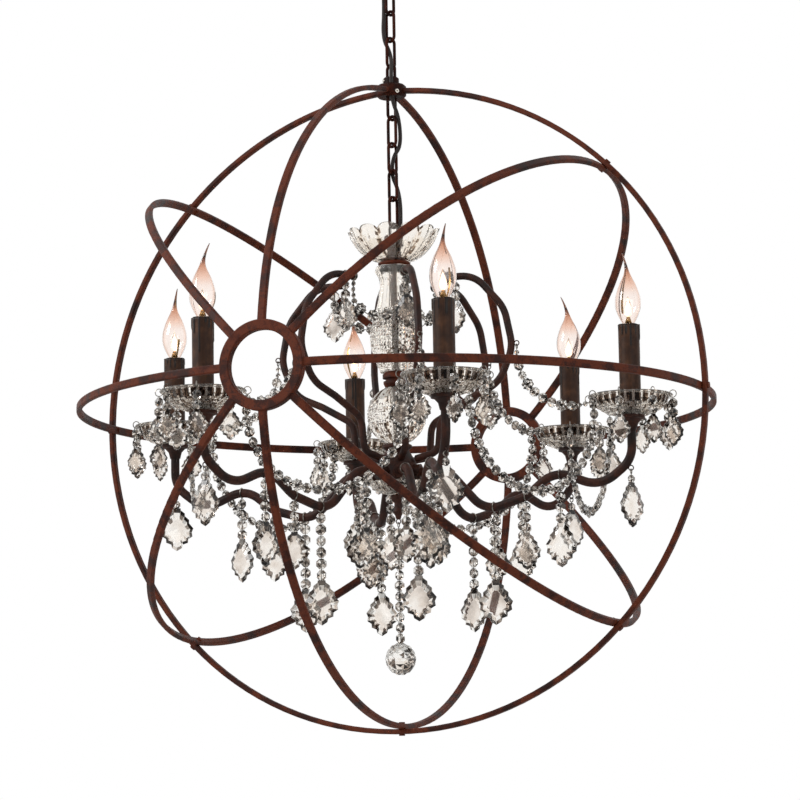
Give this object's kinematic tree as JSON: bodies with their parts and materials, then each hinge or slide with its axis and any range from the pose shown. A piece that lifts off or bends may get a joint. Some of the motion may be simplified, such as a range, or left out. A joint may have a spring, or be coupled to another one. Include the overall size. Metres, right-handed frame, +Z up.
{
  "type": "orb chandelier",
  "caption": "Round orb chandelier: iron hoops meeting at polar rings, hung on a chain, around a candle-arm crystal chandelier with bead swags and pendants.",
  "frame": {"origin": "on the ceiling, at the middle of the mounting bracket's upper face", "axes": "+Z up, -Y towards the orb's front polar ring, +X to the orb's right seen from the front"},
  "size_m": [0.8164, 0.7972, 1.0029],
  "materials": {
    "rusted_iron": "matt dark brown with rust-red rubbed edges",
    "zinc_plate": "zinc plated",
    "nickel_screws": "nickel plated",
    "woven_cord": "black braid",
    "moulded_glass": "clear moulded glass",
    "cut_crystal": "clear cut crystal",
    "bulb_glass": "clear bulb glass on a brass screw cap",
    "brown_sleeve": "brown candle sleeve with wax drips",
    "lamp_holder": "dark moulded lamp holder"
  },
  "bodies": {
    "ceiling": {"ceiling_canopy": "rusted_iron", "mounting_bracket": "zinc_plate", "canopy_loop": "rusted_iron", "canopy_screws": "nickel_screws", "power_cord_upper": "woven_cord"},
    "upper_link_1": {"upper_link_1": "rusted_iron"},
    "upper_link_2": {"upper_link_2": "rusted_iron"},
    "upper_link_3": {"upper_link_3": "rusted_iron"},
    "orb": {"top_hub": "rusted_iron", "hub_eyes": "rusted_iron", "hub_screws": "nickel_screws", "ring_front": "rusted_iron", "ring_back": "rusted_iron", "cross_hoop": "rusted_iron", "upright_bars_upper": "rusted_iron", "upright_bar_lower": "rusted_iron", "level_bars": "rusted_iron", "tilt_bar_a_upper": "rusted_iron", "tilt_bar_a_lower": "rusted_iron", "tilt_bar_b_upper": "rusted_iron", "tilt_bar_b_lower": "rusted_iron", "crossing_rivets": "rusted_iron", "power_cord_lower": "woven_cord"},
    "inner_link_1": {"inner_link_1": "rusted_iron"},
    "inner_link_2": {"inner_link_2": "rusted_iron"},
    "inner_link_3": {"inner_link_3": "rusted_iron"},
    "inner_link_4": {"inner_link_4": "rusted_iron"},
    "chandelier": {"stem_tube": "rusted_iron", "stem_eye": "rusted_iron", "top_bowl": "moulded_glass", "top_collar": "rusted_iron", "column_vase": "moulded_glass", "middle_collar": "rusted_iron", "glass_ball": "cut_crystal", "ball_disc": "rusted_iron", "arm_hub": "rusted_iron", "bottom_dish": "moulded_glass", "bottom_finial": "rusted_iron", "scroll_arms": "rusted_iron", "upper_scrolls": "rusted_iron", "candle_cups": "rusted_iron", "candle_pans": "moulded_glass", "lamp_sockets": "lamp_holder", "candle_sleeves": "brown_sleeve", "long_strands": "cut_crystal", "small_drops": "cut_crystal", "bead_swags": "cut_crystal"},
    "ball_drop": {"ball_drop": "cut_crystal"},
    "bulb_1": {"bulb_1": "bulb_glass"},
    "bulb_2": {"bulb_2": "bulb_glass"},
    "bulb_3": {"bulb_3": "bulb_glass"},
    "bulb_4": {"bulb_4": "bulb_glass"},
    "bulb_5": {"bulb_5": "bulb_glass"},
    "bulb_6": {"bulb_6": "bulb_glass"},
    "arm_drop_1": {"arm_drop_1": "cut_crystal"},
    "arm_drop_2": {"arm_drop_2": "cut_crystal"},
    "arm_drop_3": {"arm_drop_3": "cut_crystal"},
    "arm_drop_4": {"arm_drop_4": "cut_crystal"},
    "arm_drop_5": {"arm_drop_5": "cut_crystal"},
    "arm_drop_6": {"arm_drop_6": "cut_crystal"}
  },
  "joints": [
    {"name": "upper_link_1_swing", "type": "hinge", "parent": "ceiling", "child": "upper_link_1", "pos_m": [0, 0, -0.05], "axis": [0.9239, -0.3827, 0], "range_deg": [-12, 12]},
    {"name": "upper_link_2_swing", "type": "hinge", "parent": "upper_link_1", "child": "upper_link_2", "pos_m": [0, 0, -0.085], "axis": [0.3827, 0.9239, 0], "range_deg": [-12, 12]},
    {"name": "upper_link_3_swing", "type": "hinge", "parent": "upper_link_2", "child": "upper_link_3", "pos_m": [0, 0, -0.12], "axis": [0.9239, -0.3827, 0], "range_deg": [-12, 12]},
    {"name": "orb_swing", "type": "hinge", "parent": "upper_link_3", "child": "orb", "pos_m": [0, 0, -0.155], "axis": [0.3827, 0.9239, 0], "range_deg": [-12, 12], "deforming": ["power_cord_upper"]},
    {"name": "inner_link_1_swing", "type": "hinge", "parent": "orb", "child": "inner_link_1", "pos_m": [0, 0, -0.2227], "axis": [0.3827, 0.9239, 0], "range_deg": [-1.5, 1.5]},
    {"name": "inner_link_2_swing", "type": "hinge", "parent": "inner_link_1", "child": "inner_link_2", "pos_m": [0, 0, -0.2577], "axis": [0.9239, -0.3827, 0], "range_deg": [-1.5, 1.5]},
    {"name": "inner_link_3_swing", "type": "hinge", "parent": "inner_link_2", "child": "inner_link_3", "pos_m": [0, 0, -0.2927], "axis": [0.3827, 0.9239, 0], "range_deg": [-1.5, 1.5]},
    {"name": "inner_link_4_swing", "type": "hinge", "parent": "inner_link_3", "child": "inner_link_4", "pos_m": [0, 0, -0.3277], "axis": [0.9239, -0.3827, 0], "range_deg": [-1.5, 1.5]},
    {"name": "chandelier_swing", "type": "hinge", "parent": "inner_link_4", "child": "chandelier", "pos_m": [0, 0, -0.3627], "axis": [0.3827, 0.9239, 0], "range_deg": [-1.5, 1.5], "deforming": ["power_cord_lower"]},
    {"name": "bulb_1_turn", "type": "hinge", "parent": "chandelier", "child": "bulb_1", "pos_m": [0.1668, -0.25296, -0.5112], "axis": [0, 0, 1], "range_deg": [0, 1080]},
    {"name": "bulb_2_turn", "type": "hinge", "parent": "chandelier", "child": "bulb_2", "pos_m": [0.30247, 0.01797, -0.5112], "axis": [0, 0, 1], "range_deg": [0, 1080]},
    {"name": "bulb_3_turn", "type": "hinge", "parent": "chandelier", "child": "bulb_3", "pos_m": [0.13567, 0.27093, -0.5112], "axis": [0, 0, 1], "range_deg": [0, 1080]},
    {"name": "bulb_4_turn", "type": "hinge", "parent": "chandelier", "child": "bulb_4", "pos_m": [-0.1668, 0.25296, -0.5112], "axis": [0, 0, 1], "range_deg": [0, 1080]},
    {"name": "bulb_5_turn", "type": "hinge", "parent": "chandelier", "child": "bulb_5", "pos_m": [-0.30247, -0.01797, -0.5112], "axis": [0, 0, 1], "range_deg": [0, 1080]},
    {"name": "bulb_6_turn", "type": "hinge", "parent": "chandelier", "child": "bulb_6", "pos_m": [-0.13567, -0.27093, -0.5112], "axis": [0, 0, 1], "range_deg": [0, 1080]},
    {"name": "arm_drop_1_swing", "type": "hinge", "parent": "chandelier", "child": "arm_drop_1", "pos_m": [0.16579, -0.25143, -0.6896], "axis": [0.5505, -0.8348, 0], "range_deg": [-20, 20]},
    {"name": "arm_drop_2_swing", "type": "hinge", "parent": "chandelier", "child": "arm_drop_2", "pos_m": [0.30064, 0.01786, -0.6896], "axis": [0.9982, 0.0593, 0], "range_deg": [-20, 20]},
    {"name": "arm_drop_3_swing", "type": "hinge", "parent": "chandelier", "child": "arm_drop_3", "pos_m": [0.13485, 0.2693, -0.6896], "axis": [0.4478, 0.8942, 0], "range_deg": [-20, 20]},
    {"name": "arm_drop_4_swing", "type": "hinge", "parent": "chandelier", "child": "arm_drop_4", "pos_m": [-0.16579, 0.25143, -0.6896], "axis": [-0.5505, 0.8348, 0], "range_deg": [-20, 20]},
    {"name": "arm_drop_5_swing", "type": "hinge", "parent": "chandelier", "child": "arm_drop_5", "pos_m": [-0.30064, -0.01786, -0.6896], "axis": [-0.9982, -0.0593, 0], "range_deg": [-20, 20]},
    {"name": "arm_drop_6_swing", "type": "hinge", "parent": "chandelier", "child": "arm_drop_6", "pos_m": [-0.13485, -0.2693, -0.6896], "axis": [-0.4478, -0.8942, 0], "range_deg": [-20, 20]},
    {"name": "ball_drop_swing", "type": "hinge", "parent": "chandelier", "child": "ball_drop", "pos_m": [0, 0, -0.7397], "axis": [1, 0, 0], "range_deg": [-15, 15]}
  ]
}
